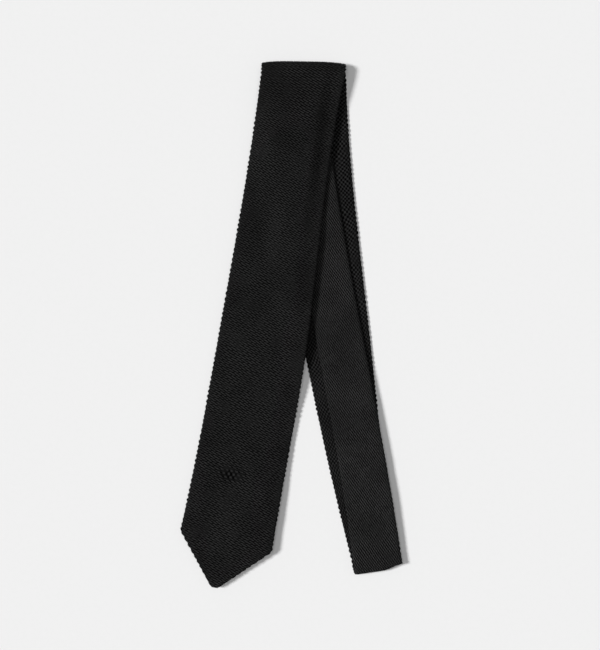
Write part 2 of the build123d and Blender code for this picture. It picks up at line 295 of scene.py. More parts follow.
def blade_base(x, y):
    """The blade lies on the tail, droops a little beside it, and reaches the ground past its tip."""
    d, w = on_run(blade, x, y)
    to_left, to_right, tail_d = beside_tail(x, y)
    beside = np.maximum(to_left, to_right)
    droop = EDGE_DROOP * smooth((beside - 1 * MM) / (12 * MM)) * smooth(d / (80 * MM))
    free = AT_FOLD + (1 - AT_FOLD) * smooth(d / (24 * MM))
    droop = droop + fold_droop(x, y) * free * (1 - smooth((d - 50 * MM) / (90 * MM)))
    past = smooth((tail_d - tail.length - 2 * MM) / (22 * MM))
    ripple = 0.22 * MM * wander(x, y, 55 * MM, 1.3) * smooth(d / (30 * MM))
    curl = TIP_CURL * smooth((d - blade.shoulder) / (75 * MM) + 1) * smooth((w + 16 * MM) / (44 * MM))
    height = BLADE_BASE - sag(x, y) - droop + ripple + curl
    return np.maximum(height * (1 - TIP_DROP * past), 0.0)


def neck_rise(d):
    """How far the springy neck fold lifts the neck run, at a distance along it."""
    up = smooth((d - 0.45 * neck_length) / (0.35 * neck_length))
    return NECK_RISE * up * (1 - 0.45 * smooth((d - 0.86 * neck_length) / (0.14 * neck_length)))


def neck_base(x, y):
    d, _ = on_run(RUNS["neck_run"], x, y)
    return NECK_BASE + 0.12 * MM * (1 + wander(x, y, 60 * MM, 2.1)) * 0.5 + neck_rise(d)


def level(x, y):
    return 0 * x


BASES = {"blade": blade_base, "tail": tail_base, "neck_run": neck_base, "lower_run": level}


# ---------- meshes


def make_mesh(name, points, faces, uv=None, values=None):
    mesh = bpy.data.meshes.new(name)
    mesh.from_pydata([tuple(p) for p in points], [], faces)
    mesh.polygons.foreach_set("use_smooth", [True] * len(mesh.polygons))
    if uv is not None:
        layer = mesh.uv_layers.new(name="knit")
        corner = np.empty(len(mesh.loops), np.int32)
        mesh.loops.foreach_get("vertex_index", corner)
        layer.data.foreach_set("uv", uv[corner].astype(np.float32).ravel())
    for key, value in (values or {}).items():
        attribute = mesh.attributes.new(key, "FLOAT", "POINT")
        attribute.data.foreach_set("value", value.astype(np.float32))
    mesh.validate()
    mesh.update()
    obj = bpy.data.objects.new(name, mesh)
    bpy.context.collection.objects.link(obj)
    return obj


def grid_faces(first, rows, columns, flip):
    """Quads of a grid of vertices numbered row by row from first."""
    i, j = np.meshgrid(np.arange(rows - 1), np.arange(columns - 1), indexing="ij")
    a = (first + i * columns + j).ravel()
    quads = np.stack([a, a + 1, a + columns + 1, a + columns], axis=1)
    return (quads[:, ::-1] if flip else quads).tolist()


def closed_sheet(name, outside, inside, stride, flip, uv=None, values=None):
    """A cloth with thickness: a fine outer grid and a coarse inner one, joined all round."""
    rows, columns = outside.shape[:2]
    inner_rows, inner_columns = inside.shape[:2]
    points = np.concatenate([outside.reshape(-1, 3), inside.reshape(-1, 3)])
    first = rows * columns
    faces = grid_faces(0, rows, columns, flip) + grid_faces(first, inner_rows, inner_columns, not flip)

    def ring(outer_ids, inner_ids, turn):
        for k in range(len(inner_ids) - 1):
            span = [int(v) for v in outer_ids[k * stride:(k + 1) * stride + 1]]
            face = [int(inner_ids[k + 1]), int(inner_ids[k])] + span
            faces.append(face[::-1] if turn != flip else face)

    outer_id = np.arange(first).reshape(rows, columns)
    inner_id = first + np.arange(inner_rows * inner_columns).reshape(inner_rows, inner_columns)
    ring(outer_id[0], inner_id[0], True)
    ring(outer_id[-1], inner_id[-1], False)
    ring(outer_id[:, 0], inner_id[:, 0], False)
    ring(outer_id[:, -1], inner_id[:, -1], True)
    if uv is not None:
        coarse = uv.reshape(rows, columns, 2)[::stride, ::stride]
        uv = np.concatenate([uv.reshape(-1, 2), coarse.reshape(-1, 2)])
    values = {
        key: np.concatenate([v.ravel(), v[::stride, ::stride].ravel()])
        for key, v in (values or {}).items()
    }
    return make_mesh(name, points, faces, uv, values)


def section(left, right, slit_centre, slit_half, front_segments):
    """The outer contour of the folded envelope, row by row: across, up from its middle, and the
    outward normal. It runs from the slit round the right edge, the front and the left edge."""
    left, right = left[:, None], right[:, None]
    width = right - left
    edge = np.minimum(EDGE_ROUND, 0.42 * width)
    centre = np.clip(slit_centre[:, None], left + edge + SLIT_HALF, right - edge - SLIT_HALF)
    half = np.minimum(slit_half[:, None], np.minimum(right - edge - centre, centre - left - edge) * 0.98)
    half = np.maximum(half, 0.02 * MM)
    back = np.linspace(0, 1, BACK_SEGMENTS + 1)[None, :-1]
    turn = np.linspace(-pi / 2, pi / 2, EDGE_SEGMENTS + 1)[None, :-1]
    face = np.linspace(0, 1, front_segments + 1)[None, :-1]
    across = np.concatenate([
        centre + half + (right - edge - centre - half) * back,
        right - edge + edge * np.cos(turn),
        right - edge + (left + edge - right + edge) * face,
        left + edge - edge * np.cos(turn),
        left + edge + (centre - half - left - edge) * np.linspace(0, 1, BACK_SEGMENTS + 1)[None, :],
    ], axis=1)
    level_back = np.zeros((1, BACK_SEGMENTS + 1))
    one = np.ones_like(left)
    lean = np.concatenate([0 * back, np.cos(turn), 0 * face, -np.cos(turn), level_back], axis=1) * one
    lift = np.concatenate(
        [0 * back - 1, np.sin(turn), 0 * face + 1, -np.sin(turn), level_back - 1], axis=1
    ) * one
    return across, LAYER / 2 * lift, lean, lift


def unrolled(across, up):
    """Distance round the section from the middle of its front, positive to the right."""
    step = np.hypot(np.diff(across, axis=1), np.diff(up, axis=1))
    round_it = np.concatenate([np.zeros((len(across), 1)), np.cumsum(step, axis=1)], axis=1)
    centre = slice(across.shape[1] // 2, across.shape[1] // 2 + 1)
    return across[:, centre] - (round_it - round_it[:, centre])


def loops(u, s, knit):
    """Height of the knit, 0 to 1, at a column and a row: two families of floats slant either way
    over the rows, with pits between them."""
    falling = np.cos(2 * pi * (u - knit["slant"] * s))
    rising = np.cos(2 * pi * (u + knit["slant"] * s))
    row = np.cos(2 * pi * s)
    fall, rise, rows, crossing = knit["weave"]
    return (0.5 + 0.5 * (fall * falling + rise * rising + rows * row + crossing * falling * row)).clip(0, 1)


def ribs(u):
    return np.abs(np.cos(2 * pi * u)) ** 0.7


def knit_height(u, s, from_edge, from_fold, knit, pull=0.0):
    """Relief of the knit: loops, opened where it is pulled, a smoother ribbed band beside the
    edges, and ribs over the folds."""
    height = loops(u, s, knit) * (1 - pull) + loops(u, s, COARSE) * pull
    band = knit["band"] * (1 - smooth((from_edge - 0.55 * BAND_WIDTH) / (0.6 * BAND_WIDTH)))
    ribbed = 0.35 + 0.45 * ribs(1.5 * u) + 0.2 * height
    height = height * (1 - band) + ribbed * band
    over = 1 - smooth((from_fold - FOLD_RIB_LENGTH * 0.6) / (FOLD_RIB_LENGTH * 0.7))
    return height * (1 - over) + (0.3 + 0.6 * ribs(u)) * over, band


def tack_pull(run, d, w):
    """Where the stitches at the top of the lining pull the front of the blade: 0 to 1."""
    if run.name != "blade":
        return 0 * d * w
    tack_at = node_span("blade_bar_tack", run)[0]
    along = (d - tack_at + PULL_AHEAD) / PULL_LENGTH
    across = (w + PULL_ASIDE) / PULL_WIDTH
    return PULL_OPENS * (1 - smooth(np.hypot(along, across)))


def edge_loops(d, lean, knit):
    """The turned loops that make a rolled edge scalloped, uneven along the edge."""
    uneven = 1 + 0.45 * wander(d, 0 * d, 31 * MM, 0.4)
    loop = np.abs(np.cos(pi * d / SCALLOP_PITCH + 0.5 * wander(d, 0 * d, 40 * MM, 1.9))) ** 1.5
    return knit["scallop"] * uneven * (loop - 0.35) * np.abs(lean) ** 2


def whole_strides(count):
    return int(round(count / STRIDE)) * STRIDE


def even_rows(length, row, steps):
    """Distances of mesh rows, a whole number of strides."""
    return np.linspace(0, length, max(STRIDE, whole_strides(length / (row / steps))) + 1)


def end_trim(run):
    """What both ends of a run's cloth together keep clear of: its folds, or its very tip."""
    return TIP_GAP if len(run.cuts) == 1 else 2 * END_GAP


def in_run(node, run):
    """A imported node's vertices: distances along a run, and offsets to its right."""
    points = node_points(node) - run.start
    return points @ run.along, points @ run.right


def node_span(node, run):
    """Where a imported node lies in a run: its least and greatest distance and offset."""
    d, w = in_run(node, run)
    return d.min(), d.max(), w.min(), w.max()


def window(run, node):
    """Where the envelope's edges part over the lining: its start, and half its width there on."""
    d, w = in_run(node, run)
    w = np.abs(w)
    widest = np.argmax(w)
    return d.min(), d[widest], d.max(), w[widest]


def parting(run, d):
    """Half the gap between the envelope's two edges at the back."""
    half = np.full(d.shape, SLIT_HALF)
    if len(run.cuts) == 1:
        start, widest, end, width = window(run, f"{run.name}_tipping")
        half = np.maximum(half, np.interp(d, [start, widest, end], [0, width, 0]))
    return half


def place_in(run, d, w, y):
    """World places on a run: along it, across it, and up from the middle of the cloth towards
    its front."""
    x_ground, y_ground = run.ground(d, w)
    base = BASES[run.name](x_ground, y_ground)
    return np.stack([x_ground, y_ground, base + LAYER / 2 + run.front * y], axis=-1)


def knit_sheet(name, outside, inside, flip, u, s, height, band, pull):
    """The mesh of a knit, with what its material reads: columns, rows, pits, band and pull."""
    values = {"pit": 1 - height, "band": band + 0 * height, "pull": pull + 0 * height}
    return closed_sheet(f"{name}_knit", outside, inside, STRIDE, flip, np.stack([u, s], axis=2), values)


def knit_run(run, detail=1.0):
    """The knitted envelope of one run."""
    knit = run.knit
    row_steps, column_steps = knit["mesh"]
    d = END_GAP + even_rows(run.length - end_trim(run), knit["row"], row_steps * detail)
    left, right = run.edges(d)
    front_segments = whole_strides(knit["columns"] * column_steps * detail)
    shoulder_left, shoulder_right = run.edges(np.minimum(d, run.shoulder))
    centre = (shoulder_left + shoulder_right) / 2
    across, up, lean, lift = section(left, right, centre, parting(run, d), front_segments)
    width = (shoulder_right - shoulder_left)[:, None]
    arc = unrolled(across, up)
    u = (arc - centre[:, None]) / width * knit["columns"]
    s = (d / knit["row"])[:, None] + 0 * u
    calm = knit["wander"] * smooth(d / (20 * MM))[:, None]
    s = s + ROW_WANDER * calm * wander(across, d[:, None], 34 * MM, 2.7)
    u = u + COLUMN_WANDER * calm * wander(across, d[:, None], 27 * MM, 5.1)
    from_edge = np.minimum(across - left[:, None], right[:, None] - across)
    from_edge = np.where(up > 0.99 * LAYER / 2, from_edge, 0 * from_edge)
    ends = [np.abs(d - distance) for _, _, distance in run.cuts]
    from_fold = np.minimum.reduce(ends)[:, None] + 0 * u
    pull = tack_pull(run, d[:, None], across) * (up > 0)
    height, band = knit_height(u, s, from_edge, from_fold, knit, pull)
    if len(run.cuts) == 1:
        thin = np.sqrt(1 - 0.85 * smooth((d - d[-1] + 1.6 * MM) / (1.6 * MM)))[:, None]
        up = up * thin
    swell = 0.10 * MM * wander(across, d[:, None], 23 * MM, 0.7) * (up > 0)
    swell = swell - PULL_DEPTH * pull
    turned = 0.7 * lean ** 2
    grow = knit["relief"] * (height * (1 - turned) + 0.6 * turned - 1 + PROUD * lean ** 2)
    grow = grow * (0.25 + 0.75 * (up > -0.99 * LAYER / 2))
    grow = grow + edge_loops(d[:, None], lean, knit)
    outer_w, outer_y = across + lean * grow, up + lift * (grow + swell)
    inner_w, inner_y = across - lean * WALL, up - lift * WALL * (np.abs(up) / (LAYER / 2)).clip(0.3, 1)
    inner_y = np.clip(inner_y, -INSIDE_HALF, INSIDE_HALF)

    outside = place_in(run, d[:, None], outer_w, outer_y)
    inside = place_in(run, d[:, None], inner_w, inner_y)[::STRIDE, ::STRIDE]
    return knit_sheet(run.name, outside, inside, run.front > 0, u, s, height, band, pull)


def end_span(run, centre, direction, d):
    """Both edges of a run where it ends at a fold, measured along the fold."""
    left, right = run.edges(np.array(d))
    spans = []
    for w in (left, right):
        x, y = run.ground(np.array(d), w)
        spans.append(float(np.dot(np.array([x, y, 0]) - centre, direction)))
    return sorted(spans)


def straight(w):
    return 1.0 + 0 * w


def neck_corner(w):
    """How much of its reach the neck fold keeps along its width: one corner is pulled flat."""
    return 1 - NECK_TUCK * smooth((-w - 3 * MM) / (14 * MM))


def upper_corners(w):
    centre, half = (upper_span[0] + upper_span[1]) / 2, (upper_span[1] - upper_span[0]) / 2
    return 1 - CORNER_TUCK * np.abs((w - centre) / half) ** 4


def upper_droop(x, y):
    return AT_FOLD * fold_droop(x, y)


def fold_rows(fold, count, trim=0.0):
    """Turn angles over a fold from the upper run's end to the lower run's, and both edges there."""
    turn = np.linspace(0, pi, count + 1)
    mix = turn / pi
    first, second = fold["first"], fold["second"]
    left = first[0] + (second[0] - first[0]) * mix + trim
    return turn, left, first[1] + (second[1] - first[1]) * mix - trim


def place_in_fold(fold, rows, w, y):
    """World places in a fold: turned over it, along it, and up from the cloth's middle."""
    centre, out, low, high = fold["centre"], fold["out"], fold["low"], fold["high"]
    direction = np.cross(out, UP)
    radius = (high - low) / 2 - LAYER / 2 + (1 if fold["front_out"] else -1) * y
    radius = np.maximum(radius, THINNEST) + fold["bulge"] * np.sin(rows) * smooth(y / LAYER + 0.5)
    outward = radius * np.sin(rows) * fold["reach"](w)
    sunk = fold["droop"](centre[0] + direction[0] * w, centre[1] + direction[1] * w)
    spot = centre[None, None, :] + direction * w[:, :, None] + out * outward[:, :, None]
    spot[:, :, 2] = (low + high) / 2 + radius * np.cos(rows) - sunk * (1 + np.cos(rows)) / 2
    return spot


def knit_fold(name, fold, knit):
    """The envelope over a fold."""
    outer = (fold["high"] - fold["low"]) / 2
    turn, left, right = fold_rows(fold, FOLD_ROWS)
    rows = turn[:, None]
    segments = whole_strides(knit["columns"] * knit["mesh"][1])
    centre = (left + right) / 2
    across, up, lean, lift = section(left, right, centre, np.full(turn.shape, SLIT_HALF), segments)
    u = (unrolled(across, up) - centre[:, None]) / (right - left)[:, None] * knit["columns"]
    s = -(turn * outer / knit["row"])[:, None] + 0 * u
    height, band = knit_height(u, s, 0 * u + 1, 0 * u, knit)
    relief = knit["relief"] * (1 + 0.8 * np.sin(rows))
    grow = relief * (height - 1 + PROUD * lean ** 2) + edge_loops((turn * outer)[:, None], lean, knit)
    outside = place_in_fold(fold, rows, across + lean * grow, up + lift * grow)
    inner_y = np.clip(up - lift * WALL, -INSIDE_HALF, INSIDE_HALF)
    inside = place_in_fold(fold, rows, across - lean * WALL, inner_y)[::STRIDE, ::STRIDE]
    to_right = np.dot(np.cross(fold["out"], UP), [1, 0, 0]) > 0
    facing = fold["front_out"] if to_right else not fold["front_out"]
    return knit_sheet(name, outside, inside, facing, u, s, height, band, 0.0)


# ---------- build: knit

pieces = {}
for name, detail in (("blade", 1.0), ("tail", 0.7), ("neck_run", 1.0), ("lower_run", 1.0)):
    pieces[name] = knit_run(RUNS[name], detail)

upper_span = end_span(blade, FOLD, FOLD_ALONG, 0.0)
lower_span = end_span(lower_run, FOLD, FOLD_ALONG, 0.0)
tail_span = end_span(tail, INNER, FOLD_ALONG, 0.0)
neck_top_span = end_span(RUNS["neck_run"], INNER, FOLD_ALONG, 0.0)
neck_direction = np.cross(NECK_OUT, UP)
neck_span = end_span(RUNS["neck_run"], NECK, neck_direction, neck_length)
low_span = end_span(lower_run, NECK, neck_direction, lower_length)
NECK_TOP = NECK_BASE + LAYER + float(neck_rise(neck_length))
# Each fold: its axis, its lowest and highest point, and its edges at its upper and lower end
PLAIN = {"front_out": True, "bulge": 0.0, "reach": straight, "droop": level}
FOLDS = {
    "upper_fold": {
        **PLAIN, "centre": FOLD, "out": FOLD_OUT, "low": 0.0, "high": STACK,
        "first": upper_span, "second": lower_span, "reach": upper_corners, "droop": upper_droop,
    },
    "inner_fold": {
        **PLAIN, "centre": INNER, "out": FOLD_OUT, "low": NECK_BASE, "high": TAIL_BASE + LAYER,
        "first": tail_span, "second": neck_top_span, "front_out": False,
    },
    "neck_fold": {
        **PLAIN, "centre": NECK, "out": NECK_OUT, "low": 0.0, "high": NECK_TOP,
        "first": neck_span, "second": low_span, "bulge": NECK_BULGE, "reach": neck_corner,
    },
}
for name, knit in (("upper_fold", FINE), ("inner_fold", DENSE), ("neck_fold", DENSE)):
    pieces[name] = knit_fold(name, FOLDS[name], knit)


# ---------- build: interlining and lining


LINING_HALF = 0.36 * MM
LINING_TRIM = WALL + 0.15 * MM
LINING_COLUMNS = 24
TIPPING_FRONT, TIPPING_BACK = -0.5 * MM, -0.85 * MM  # heights of the satin's two faces
TIPPING_COLUMNS = 28


def flat_piece(name, place, d, left, right, columns, front_y, back_y, flip):
    """A thin closed piece between two edges: place turns distance, across and height to world."""
    mix = np.linspace(0, 1, columns + 1)[None, :]
    w = left[:, None] + (right - left)[:, None] * mix
    rows = d[:, None] + 0 * w
    front = place(rows, w, front_y + 0 * w)
    back = place(rows, w, back_y + 0 * w)
    uv = np.stack([w / MM, rows / MM], axis=2)
    return closed_sheet(name, front, back, 1, flip, uv)


def run_interlining(run):
    end = run.length - (5 * MM if len(run.cuts) == 1 else 2 * END_GAP)
    d = END_GAP + even_rows(end, 3 * MM, 1)
    left, right = run.edges(d)
    left = np.minimum(left + LINING_TRIM, (left + right) / 2 - 0.3 * MM)
    right = np.maximum(right - LINING_TRIM, left + 0.6 * MM)

    def place(rows, w, y):
        nap = 0.03 * MM * wander(rows, w, 9 * MM, 3.3)
        return place_in(run, rows, w, y + nap)

    return flat_piece(
        f"{run.name}_wool", place, d, left, right, LINING_COLUMNS, LINING_HALF, -LINING_HALF, run.front < 0
    )


def fold_interlining(name, fold):
    """The interlining over a fold, which doesn't follow the knit's bulge."""
    flat_fold = {**fold, "bulge": 0.0}
    turn, left, right = fold_rows(fold, WOOL_FOLD_ROWS, LINING_TRIM)

    def place(rows, w, y):
        return place_in_fold(flat_fold, rows, w, y)

    return flat_piece(
        f"{name}_wool", place, turn, left, right, LINING_COLUMNS, LINING_HALF, -LINING_HALF,
        not fold["front_out"],
    )


wool = {name: run_interlining(run) for name, run in RUNS.items()}
wool.update({name: fold_interlining(name, fold) for name, fold in FOLDS.items()})


def tipping(run):
    """The satin lining that shows between the parted edges at a point."""
    start, widest, end, width = window(run, f"{run.name}_tipping")
    d = even_rows(end - start - 1.2 * MM, 0.8 * MM, 1) + start + 0.6 * MM
    half = np.interp(d, [start, widest, end], [0, width, 0]) - 0.1 * MM
    half = np.maximum(half, 0.15 * MM)
    shift = np.interp(run.shoulder, run.at, (run.left + run.right_edge) / 2)
    shift = shift * (1 - smooth((d - run.shoulder) / (end - run.shoulder)))

    def place(rows, w, y):
        pucker = 0.05 * MM * wander(rows, w, 14 * MM, 4.2) * (y < -0.6 * MM)
        return place_in(run, rows, w, y + pucker)

    return flat_piece(
        f"{run.name}_lining", place, d, shift - half, shift + half, TIPPING_COLUMNS,
        TIPPING_FRONT, TIPPING_BACK, run.front < 0,
    )


lining = {name: tipping(RUNS[name]) for name in ("blade", "tail")}


# ---------- build: keeper and label

KEEPER_THICK = 0.55 * MM
KEEPER_FLANGE = 5.0 * MM


def keeper():
    """The knitted band that holds the tail: sewn to the blade's back at both ends."""
    d0, d1, w0, w1 = node_span("keeper_loop", tail)
    half = (w1 - w0) / 2 - KEEPER_FLANGE - KEEPER_THICK / 2
    centre = (w1 + w0) / 2
    flange_points = np.linspace(0, 1, 13)
    corner = np.linspace(0, 1, 17)
    floor = np.linspace(-1, 1, 49)
    w = np.concatenate([
        -half - KEEPER_FLANGE * (1 - flange_points[:-1]), -half + 0 * corner[:-1], half * floor,
        half + 0 * corner[1:], half + KEEPER_FLANGE * flange_points[1:],
    ])
    mix = np.concatenate([
        1 + 0 * flange_points[:-1], 1 - smooth(corner[:-1]), 0 * floor,
        smooth(corner[1:]), 1 + 0 * flange_points[1:],
    ])
    for _ in range(3):  # round the corners
        w[1:-1] = (w[:-2] + 2 * w[1:-1] + w[2:]) / 4
        mix[1:-1] = (mix[:-2] + 2 * mix[1:-1] + mix[2:]) / 4
    rows = np.linspace(d0, d1, 25)
    rib = np.abs(np.cos(pi * (rows - d0) / (d1 - d0) * 5)) ** 0.8
    rows_grid = rows[:, None] + 0 * w[None, :]
    w_grid = centre + w[None, :] + 0 * rows_grid
    x = tail.start[0] + tail.along[0] * rows_grid + tail.right[0] * w_grid
    y = tail.start[1] + tail.along[1] * rows_grid + tail.right[1] * w_grid
    high = blade_base(x, y) - 0.06 * MM - KEEPER_THICK / 2
    low = tail_base(x, y) - 0.22 * MM - KEEPER_THICK / 2
    z = high * mix + low * (1 - mix)
    run_w, run_z = np.gradient(w_grid, axis=1), np.gradient(z, axis=1)
    size = np.hypot(run_w, run_z)
    normal_w, normal_z = -run_z / size, run_w / size
    stitch = np.abs(np.cos(pi * np.arange(len(w)) / 2.0))[None, :]

    def side(offset):
        px = x + tail.right[0] * normal_w * offset
        py = y + tail.right[1] * normal_w * offset
        return np.stack([px, py, z + normal_z * offset], axis=2)

    outer = -KEEPER_THICK / 2 + 0.14 * MM * (1 - rib[:, None]) + 0.05 * MM * stitch
    uv = np.stack([w_grid / MM, rows_grid / MM], axis=2)
    return closed_sheet("keeper_band", side(KEEPER_THICK / 2), side(outer), 1, False, uv)


band_piece = keeper()


def label():
    d0, d1, w0, w1 = node_span("label", blade)
    d = np.linspace(d0, d1, 25)
    left, right = np.full(25, w0), np.full(25, w1)

    def place(rows, w, y):
        hem = 0.08 * MM * (np.minimum(w - w0, w1 - w) < 1.5 * MM)
        drop = 0.04 * MM * (1 + wander(rows, w, 16 * MM, 5.5))
        spot = place_in(blade, rows, w, -LAYER / 2 - 0.04 * MM + 0 * w)
        spot[:, :, 2] -= np.where(y < 0, 0.20 * MM + hem + drop, 0)
        return spot

    return flat_piece("blank_label", place, d, left, right, 44, 0.0, -1.0, False)


label_piece = label()


# ---------- build: thread

THREAD = 0.22 * MM  # radius


def thread(name, lines, radius=THREAD, sides=6):
    """Sewing thread along lines of points, as one mesh."""
    points, faces = [], []
    for line in lines:
        line = np.array(line)
        step = np.gradient(line, axis=0)
        step /= np.linalg.norm(step, axis=1)[:, None]
        side = np.cross(step, UP)
        side /= np.linalg.norm(side, axis=1)[:, None] + 1e-9
        lift = np.cross(side, step)
        first = len(points)
        taper = np.ones(len(line))
        taper[0] = taper[-1] = 0.35
        for k, spot in enumerate(line):
            for turn in np.linspace(0, 2 * pi, sides, endpoint=False):
                spread = side[k] * np.cos(turn) + lift[k] * np.sin(turn)
                points.append(spot + spread * radius * taper[k])
        for k in range(len(line) - 1):
            for j in range(sides):
                a, b = first + k * sides + j, first + k * sides + (j + 1) % sides
                faces.append([a, a + sides, b + sides, b])
        faces.append([first + j for j in range(sides)])
        faces.append([first + (len(line) - 1) * sides + j for j in reversed(range(sides))])
    obj = make_mesh(name, points, faces)
    return obj


def slip_stitch(run, pitch=4.5 * MM, reach=0.9 * MM):
    """The thread that zigzags from one edge of the envelope to the other along its back."""
    d0, d1, _, _ = node_span(f"{run.name}_slip_stitch", run)
    d0, d1 = max(d0, 0) + 3 * MM, d1 - 1 * MM
    count = int((d1 - d0) / pitch)
    lines = []
    for k in range(count):
        mix = np.linspace(0, 1, 7)
        d = d0 + pitch * (k + 0.62 * mix)
        edge = np.minimum(d, run.shoulder)
        centre = (run.edges(edge)[0] + run.edges(edge)[1]) / 2
        w = centre + reach * (2 * mix - 1) * (1 if k % 2 else -1)
        y = -LAYER / 2 + 0.12 * MM - 0.22 * MM * np.sin(pi * mix)
        lines.append(place_in(run, d, w, y))
    return thread(f"{run.name}_slip_thread", lines)


def join_stitch(run, node, side_name):
    """The backstitched seam between two panels, across the run's front."""
    d0, d1, w0, w1 = node_span(node, run)
    count = int((w1 - w0) / (2.4 * MM))
    lines = []
    for k in range(count):
        mix = np.linspace(0, 1, 6)
        w = w0 + (w1 - w0) * (k + 0.8 * mix) / count
        y = LAYER / 2 - 0.30 * MM + 0.22 * MM * np.sin(pi * mix)
        lines.append(place_in(run, (d0 + d1) / 2 + 0 * mix, w, y))
    return thread(f"{side_name}_thread", lines)


def bar_tack(run):
    """Dense stitches that stop the envelope's edges from parting further."""
    d0, d1, w0, w1 = node_span(f"{run.name}_bar_tack", run)
    passes = 17
    lines = []
    for k in range(passes):
        mix = np.linspace(0, 1, 6)
        w = w0 + (w1 - w0) * (k + 0.5) / passes + 0.2 * MM * (mix - 0.5)
        d = d0 + (d1 - d0) * mix
        y = -LAYER / 2 + 0.10 * MM - 0.18 * MM * np.sin(pi * mix)
        lines.append(place_in(run, d, w, y))
    return thread(f"{run.name}_tack_thread", lines, radius=0.24 * MM)


slip = {name: slip_stitch(run) for name, run in RUNS.items()}
tack = {name: bar_tack(RUNS[name]) for name in ("blade", "tail")}
neck_join = join_stitch(lower_run, "neck_join_stitch", "neck_join")
tail_join = join_stitch(RUNS["neck_run"], "tail_join_stitch", "tail_join")


# ---------- materials


class Nodes:
    """Short names for building a material's nodes."""

    def __init__(self, name):
        self.material = bpy.data.materials.new(name)
        self.material.use_nodes = True
        self.tree = self.material.node_tree
        self.shader = self.tree.nodes["Principled BSDF"]

    def new(self, kind):
        return self.tree.nodes.new(f"ShaderNode{kind}")

    def put(self, value, socket):
        if isinstance(value, bpy.types.NodeSocket):
            self.tree.links.new(value, socket)
        elif value is not None:
            socket.default_value = value

    def math(self, operation, a, b=None, c=None, clamp=False):
        node = self.new("Math")
        node.operation = operation
        node.use_clamp = clamp
        for value, socket in zip((a, b, c), node.inputs):
            self.put(value, socket)
        return node.outputs[0]

    def times(self, a, b):
        return self.math("MULTIPLY", a, b)

    def plus(self, a, b, clamp=False):
        return self.math("ADD", a, b, clamp=clamp)

    def minus(self, a, b):
        return self.math("SUBTRACT", a, b)

    def times_plus(self, a, b, c):
        return self.math("MULTIPLY_ADD", a, b, c)

    def ramp(self, value, low, high, to_low=0.0, to_high=1.0):
        node = self.new("MapRange")
        node.interpolation_type = "SMOOTHSTEP"
        for number, socket in zip((value, low, high, to_low, to_high), node.inputs):
            self.put(number, socket)
        return node.outputs[0]

    def mix(self, factor, a, b):
        node = self.new("Mix")
        node.data_type = "RGBA"
        for k, value in ((0, factor), (6, a), (7, b)):
            self.put(value, node.inputs[k])
        return node.outputs[2]

    def place(self, stretch=(1, 1, 1)):
        """Object coordinates in metres, stretched."""
        source = self.new("TexCoord")
        node = self.new("Mapping")
        self.put(source.outputs["Object"], node.inputs["Vector"])
        node.inputs["Scale"].default_value = stretch
        return node.outputs[0]

    def noise(self, vector, scale, detail=2.0, rough=0.5):
        node = self.new("TexNoise")
        for key, value in zip(("Vector", "Scale", "Detail", "Roughness"), (vector, scale, detail, rough)):
            self.put(value, node.inputs[key])
        return node.outputs["Fac"]

    def uv(self):
        source = self.new("UVMap")
        source.uv_map = "knit"
        node = self.new("SeparateXYZ")
        self.put(source.outputs[0], node.inputs[0])
        return node.outputs[0], node.outputs[1]

    def value(self, name):
        node = self.new("Attribute")
        node.attribute_name = name
        return node.outputs["Fac"]

    def bump(self, height, distance, strength=1.0):
        node = self.new("Bump")
        for key, value in (("Strength", strength), ("Distance", distance), ("Height", height)):
            self.put(value, node.inputs[key])
        self.put(node.outputs[0], self.shader.inputs["Normal"])

    def finish(self, colour, roughness, **constants):
        self.put(colour, self.shader.inputs["Base Color"])
        self.put(roughness, self.shader.inputs["Roughness"])
        for key, value in constants.items():
            self.shader.inputs[key.replace("_", " ")].default_value = value
        return self.material


def grey(tone):
    return (tone, tone, tone, 1)


